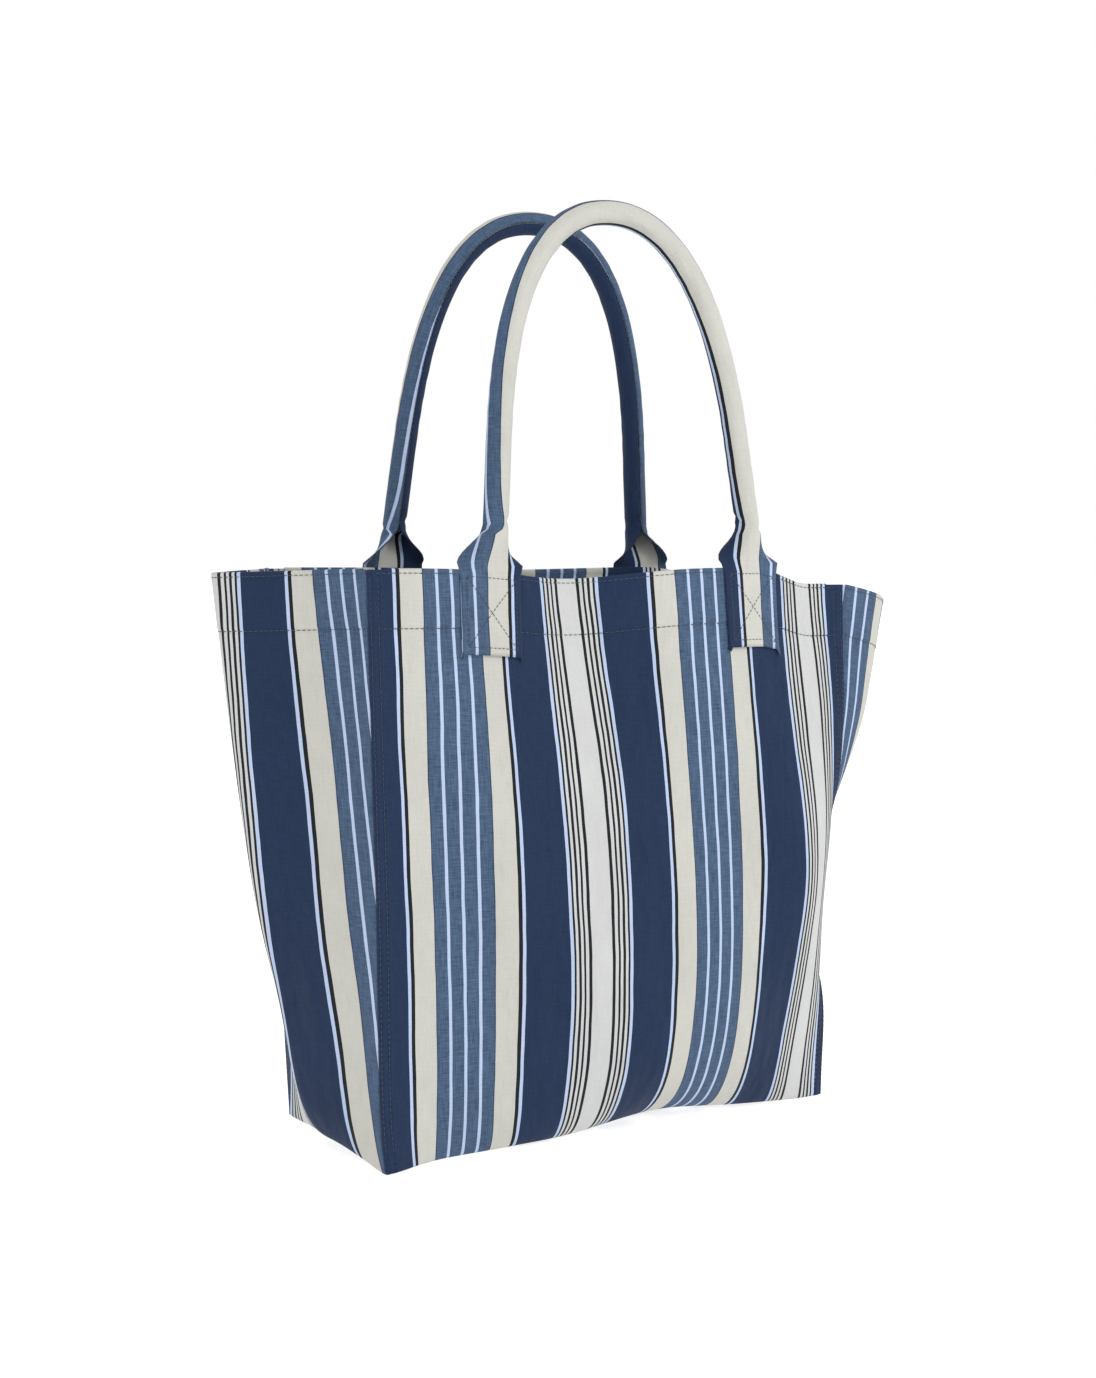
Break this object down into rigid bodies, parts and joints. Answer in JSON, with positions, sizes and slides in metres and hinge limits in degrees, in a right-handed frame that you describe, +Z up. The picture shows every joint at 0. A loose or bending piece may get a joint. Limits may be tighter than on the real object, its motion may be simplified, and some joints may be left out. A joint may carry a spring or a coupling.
{
  "type": "canvas tote bag",
  "caption": "Open-topped tote bag of striped canvas, flared at the gussets, with two rolled rope handles sewn to the outside on flat tabs.",
  "frame": {"origin": "the middle of the base's underside, on the floor", "axes": "+X to the right along the front, +Y from the front to the rear, +Z up through the open top"},
  "size_m": [0.5252, 0.2148, 0.6227],
  "materials": {
    "striped_canvas": "plain-woven cotton canvas with navy, chambray, cream, black and light blue warp stripes, matt",
    "sewing_thread": "navy polyester sewing thread, slight sheen",
    "filler_cord": "undyed twisted cotton cord, matt"
  },
  "bodies": {
    "bag": {"front_panel": "striped_canvas", "rear_panel": "striped_canvas", "left_gusset": "striped_canvas", "right_gusset": "striped_canvas", "base_panel": "striped_canvas", "front_left_handle_tab": "striped_canvas", "front_right_handle_tab": "striped_canvas", "rear_left_handle_tab": "striped_canvas", "rear_right_handle_tab": "striped_canvas", "front_left_tab_stitching": "sewing_thread", "front_left_seam_stitching": "sewing_thread", "front_right_tab_stitching": "sewing_thread", "front_right_seam_stitching": "sewing_thread", "rear_left_tab_stitching": "sewing_thread", "rear_left_seam_stitching": "sewing_thread", "rear_right_tab_stitching": "sewing_thread", "rear_right_seam_stitching": "sewing_thread", "hem_stitching": "sewing_thread", "rim_stitching": "sewing_thread", "base_seam_stitching": "sewing_thread"},
    "front_handle": {"front_handle_cover": "striped_canvas", "front_handle_filler_cord": "filler_cord", "front_handle_seam_stitching": "sewing_thread"},
    "rear_handle": {"rear_handle_cover": "striped_canvas", "rear_handle_filler_cord": "filler_cord", "rear_handle_seam_stitching": "sewing_thread"}
  },
  "joints": [
    {"name": "front_handle_swing", "type": "hinge", "parent": "bag", "child": "front_handle", "pos_m": [0, -0.0879, 0.381], "axis": [1, 0, 0], "range_deg": [-9, 170]},
    {"name": "rear_handle_swing", "type": "hinge", "parent": "bag", "child": "rear_handle", "pos_m": [0, 0.0879, 0.381], "axis": [-1, 0, 0], "range_deg": [-9, 170]}
  ]
}
